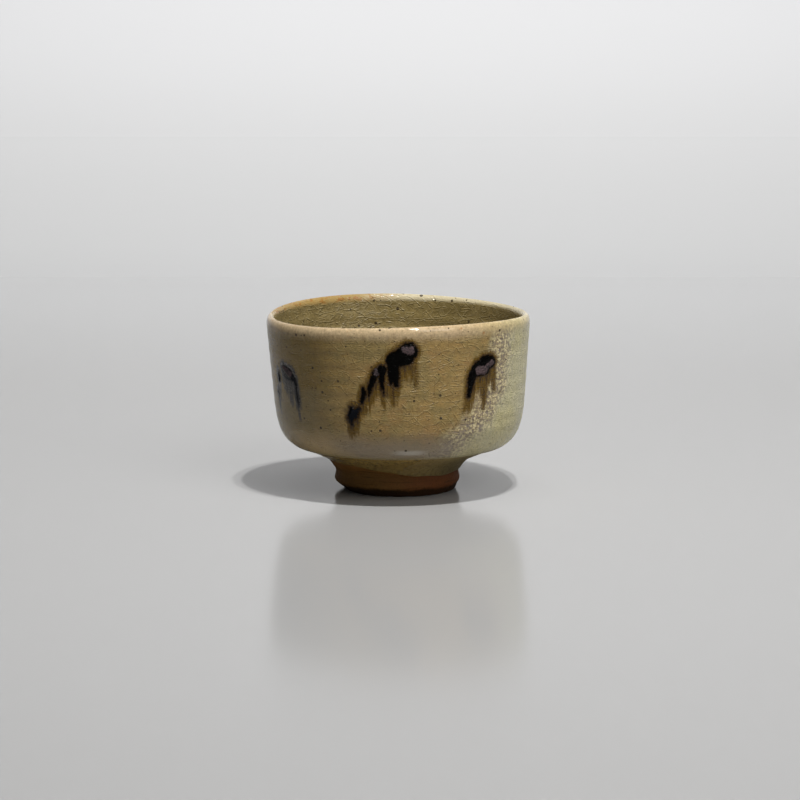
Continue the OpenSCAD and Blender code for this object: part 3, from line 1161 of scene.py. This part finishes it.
def specks_and_ledge(bench, lay, colour):
    """Dark specks, then the thicker glaze that gathers under the ledge, and a painted highlight along its
    ridge.
    """
    large = specks(bench, 3.8, 5, 0.72, 0.55)
    speck = large.maths("MAXIMUM", specks(bench, 2.2, 6, 0.40, 0.45) * 0.7)
    colour = bench.mix(colour, SPECK_BROWN, speck * (0.9 - 0.5 * lay.celadon))
    under_tone = bench.mix(UNDER_GREEN, UNDER_RIGHT, bench.step(lay.angle, 15.0, 50.0))
    colour = bench.mix(colour, under_tone, lay.under * 0.85)
    streaks = bench.step(lay.brush, -0.05, 0.25)
    colour = bench.mix(colour, UNDER_STREAK, lay.under * streaks * 0.6)
    # A painted highlight along the lit ridge of the ledge
    painted_ridge_highlight = bench.step(abs(lay.z - 21.6), 0.9, 0.2)
    return bench.mix(colour, RIDGE_HIGHLIGHT, painted_ridge_highlight * 0.4)


# %% Iron in the glaze
AMBER = (0.115, 0.062, 0.004)
AMBER_GREY = (0.075, 0.066, 0.055)
IRON_BROWN = (0.036, 0.017, 0.004)
IRON_GREY = (0.030, 0.028, 0.028)
IRON_BLACK = (0.0015, 0.0013, 0.001)
IRON_BLUE = (0.006, 0.007, 0.010)
SKIN_MAUVE = (0.12, 0.083, 0.085)
SKIN_DARK = (0.055, 0.048, 0.050)
FOLD_HIGHLIGHT = (0.30, 0.28, 0.25)


def iron_runs(bench, lay, colour):
    """Amber halo, brown edge and black iron; gives back the dull skin and the folds, with their painted
    highlight, too.
    """
    names = ("iron", "amber", "dull", "below", "fold_and_gleam")
    iron, thin_iron, dull, below, fold_and_gleam = (bench.kept(name) for name in names)
    fine, flow, left = lay.fine, lay.flow, lay.left
    low_left = bench.step(lay.z + left * 40, 50.0, 47.0).maths("MAXIMUM", left)
    soft = bench.step(lay.angle, -15.0, -18.0) * low_left
    halo = bench.step(iron + fine * 1.6 + flow * 2.0, 2.8, 0.6)
    runs = bench.step(below + flow * 1.1, 0.10, 0.50)
    amber = halo.maths("MAXIMUM", runs)
    amber = amber.maths("MAXIMUM", thin_iron * bench.step(flow, -0.6, -0.15))
    colour = bench.mix(colour, bench.mix(AMBER, AMBER_GREY, left), amber * 0.97)
    edge_gap = iron + fine * (1.3 + 1.4 * soft) + flow * 0.9
    strong = bench.step(below + flow * 1.4, 0.60, 1.0)
    brown = bench.step(edge_gap, 1.0 + 0.5 * soft, 0.0).maths("MAXIMUM", strong)
    brown = brown.maths("MAXIMUM", thin_iron * bench.step(flow, -0.06, 0.16) * 0.8)
    colour = bench.mix(colour, bench.mix(IRON_BROWN, IRON_GREY, left), brown * 0.88)
    black = bench.step(edge_gap, 0.25, -0.5 - 0.5 * soft)
    colour = bench.mix(colour, bench.mix(IRON_BLACK, IRON_BLUE, soft), black)
    skin = bench.step(dull + fine * 1.6, 0.4, -0.4) * black
    skin_tone = bench.mix(SKIN_MAUVE, SKIN_DARK, bench.step(fine + lay.ripple, -0.1, 0.2))
    colour = bench.mix(colour, skin_tone, skin * 0.85)
    # The pale lines on the folds are a painted highlight where the wrinkled iron catches the light
    colour = bench.mix(colour, FOLD_HIGHLIGHT, fold_and_gleam * bench.step(fine, -0.25, 0.1) * 0.6)
    return colour, skin, fold_and_gleam


# %% Recipe of the outer glaze
def ash_glaze(bench):
    """Colour, roughness and relief of the outer glaze, with its iron marks."""
    lay = lay_out(bench)
    colour = ground(bench, lay)
    for layer in (speckled, crazed, hip_and_lip, specks_and_ledge):
        colour = layer(bench, lay, colour)
    colour, skin, fold_and_gleam = iron_runs(bench, lay, colour)
    right_below = lay.under * bench.step(lay.angle, 10.0, 45.0)
    rough = 0.24 + 0.12 * lay.veil + 0.10 * lay.on_seam + 0.4 * skin - 0.17 * lay.shine + 0.3 * right_below
    relief = (lay.fine * 0.5 + lay.ripple * 0.8 + lay.craze * 0.6) * (1 - lay.shine * 0.95)
    relief = relief + fold_and_gleam + skin * bench.noise(0.7, 2, seed=13) * 0.6
    return colour, rough, relief


bench = Bench("ash_glaze_outside")
outer_finish = bench.finish(*ash_glaze(bench), 0.18, IOR=1.5, Specular_IOR_Level=0.3)

bench = Bench("iron_over_glaze")
iron_finish = bench.finish(*ash_glaze(bench), 0.18, IOR=1.5, Specular_IOR_Level=0.04)

# %% [markdown]
# ## Inside glaze
# The inside is a plainer olive, darker towards the floor where the glaze pools, with fine
# pale craze lines and dark specks that have run a little.

# %% Recipe of the inner glaze
INNER_OLIVE = (0.255, 0.190, 0.074)
INNER_BROWN = (0.190, 0.140, 0.050)
POOL_DARK = (0.13, 0.105, 0.04)
INNER_CRAZE = (0.38, 0.31, 0.165)
INNER_LIP = (0.62, 0.54, 0.36)
INNER_LIP_AMBER = (0.38, 0.25, 0.085)
INNER_RUST = (0.30, 0.12, 0.02)
bench = Bench("ash_glaze_inside")
z = bench.z
drift = bench.noise(22, 2, seed=1) - 0.5
ripple = bench.noise(4, 3, seed=2) - 0.5
fine = bench.noise(0.8, 2, seed=3) - 0.5
craze = crackle(bench)
colour = bench.mix(INNER_OLIVE, INNER_BROWN, bench.step(ripple + drift, -0.2, 0.25))
deep = bench.step(z, 60.0, 20.0)
colour = bench.mix(colour, POOL_DARK, deep * 0.7)
# Painted shade: the left inside wall, which the lamps light most, is darkened
painted_shade_left = bench.step(bench.x, 10.0, -45.0)
grain = bench.noise(1.5, 2, seed=17) - 0.5
# gaps is the painted shade beneath the craze lines
gaps = craze.maths("MINIMUM", 0.0) * 0.3
colour = bench.dim(colour, 1.06 + fine * 0.7 + grain * 0.7 - painted_shade_left * 0.26 + gaps)
colour = bench.mix(colour, INNER_CRAZE, craze * 0.45)
lip_band = bench.step(z + ripple * 1.5, 78.2, 80.2)
left_back = bench.step(bench.x, 5.0, -25.0) * bench.step(bench.y, -10.0, 10.0)
tan = bench.mix(INNER_LIP, INNER_LIP_AMBER, left_back)
colour = bench.mix(colour, tan, lip_band * 0.8)
rust = bench.step(bench.noise(3.0, 2, seed=16), 0.52, 0.62) * lip_band * left_back
colour = bench.mix(colour, INNER_RUST, rust * 0.7)
speck = specks(bench, 3.6, 8, 0.85, 0.6)
speck = speck.maths("MAXIMUM", specks(bench, 4.0, 9, 0.7, 0.6, (1, 1, 0.25)) * 0.7)
colour = bench.mix(colour, SPECK_BROWN, speck * 0.9)
rough = 0.30 + 0.1 * ripple - 0.2 * bench.step(z, 77.5, 79.5)
relief = fine * 0.5 + ripple * 0.8 + craze * 0.45
inner_finish = bench.finish(colour, rough, relief, 0.18, IOR=1.5, Specular_IOR_Level=0.3)

# %% [markdown]
# ## Bare clay
# The clay is rich in iron. Where the glaze ends the fire flashed it orange, lower down it
# is dark brown, red-brown on the right, and nearly black at the base: partly dark clay, partly painted shade
# under the bowl.

# %% Recipe of the clay
CLAY_BROWN = (0.195, 0.100, 0.028)
CLAY_RED = (0.175, 0.063, 0.021)
CLAY_FLASH = (0.22, 0.092, 0.017)
CLAY_BASE_AND_SHADE = (0.026, 0.012, 0.004)
TOOL_MARK = (0.03, 0.014, 0.006)
bench = Bench("bare_stoneware")
z = bench.z
drift = bench.noise(9, 3, seed=1) - 0.5
grain = bench.noise(0.8, 3, seed=2, rough=0.65) - 0.5
turned = bench.noise(1.1, 2, (0.06, 0.06, 1), 3)
side_now = bench.step(bench.x + drift * 14, -14.0, 16.0)
colour = bench.mix(CLAY_BROWN, CLAY_RED, side_now)
flash = bench.step(z + drift * 3, 9.5, 13.0) * bench.step(bench.x + drift * 10, 14.0, -6.0)
colour = bench.mix(colour, CLAY_FLASH, flash * 0.7)
# Nearly black at the base: partly dark clay, partly painted shade where the bowl meets the floor
base = bench.step(z + drift * 2.4 + grain * 1.6, 4.4, 2.6)
colour = bench.mix(colour, CLAY_BASE_AND_SHADE, base * 0.92)
colour = bench.mix(colour, TOOL_MARK, bench.step(turned, 0.55, 0.75) * 0.45)
colour = bench.dim(colour, 1.0 + 0.8 * grain)
rough = 0.62 + 0.2 * grain
relief = grain * 1.0 + turned * 0.8
clay_finish = bench.finish(colour, rough, relief, 0.2, IOR=1.5, Specular_IOR_Level=0.12)

# %% [markdown]
# ## Handing the pieces to the frame
# Every piece stands for its CAD node and rides on the one body. Nothing moves on a bowl.

# %% Finishes and riding
plan = [
    (body, "thrown_body", "stoneware", clay_finish),
    (foot, "turned_foot", "stoneware", clay_finish),
    (coat, "outer_glaze", "outer_ash_glaze", outer_finish),
    (inner_coat, "inner_glaze", "inner_ash_glaze", inner_finish),
]
plan += [(piece, name, "iron_mark", iron_finish) for name, piece in marks.items()]
for piece, node, slot, finish in plan:
    piece.data.materials.clear()
    piece.data.materials.append(finish)
    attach(piece, "root")
    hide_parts(node)
nothing_selected()
print(len(plan), "pieces handed to the frame")
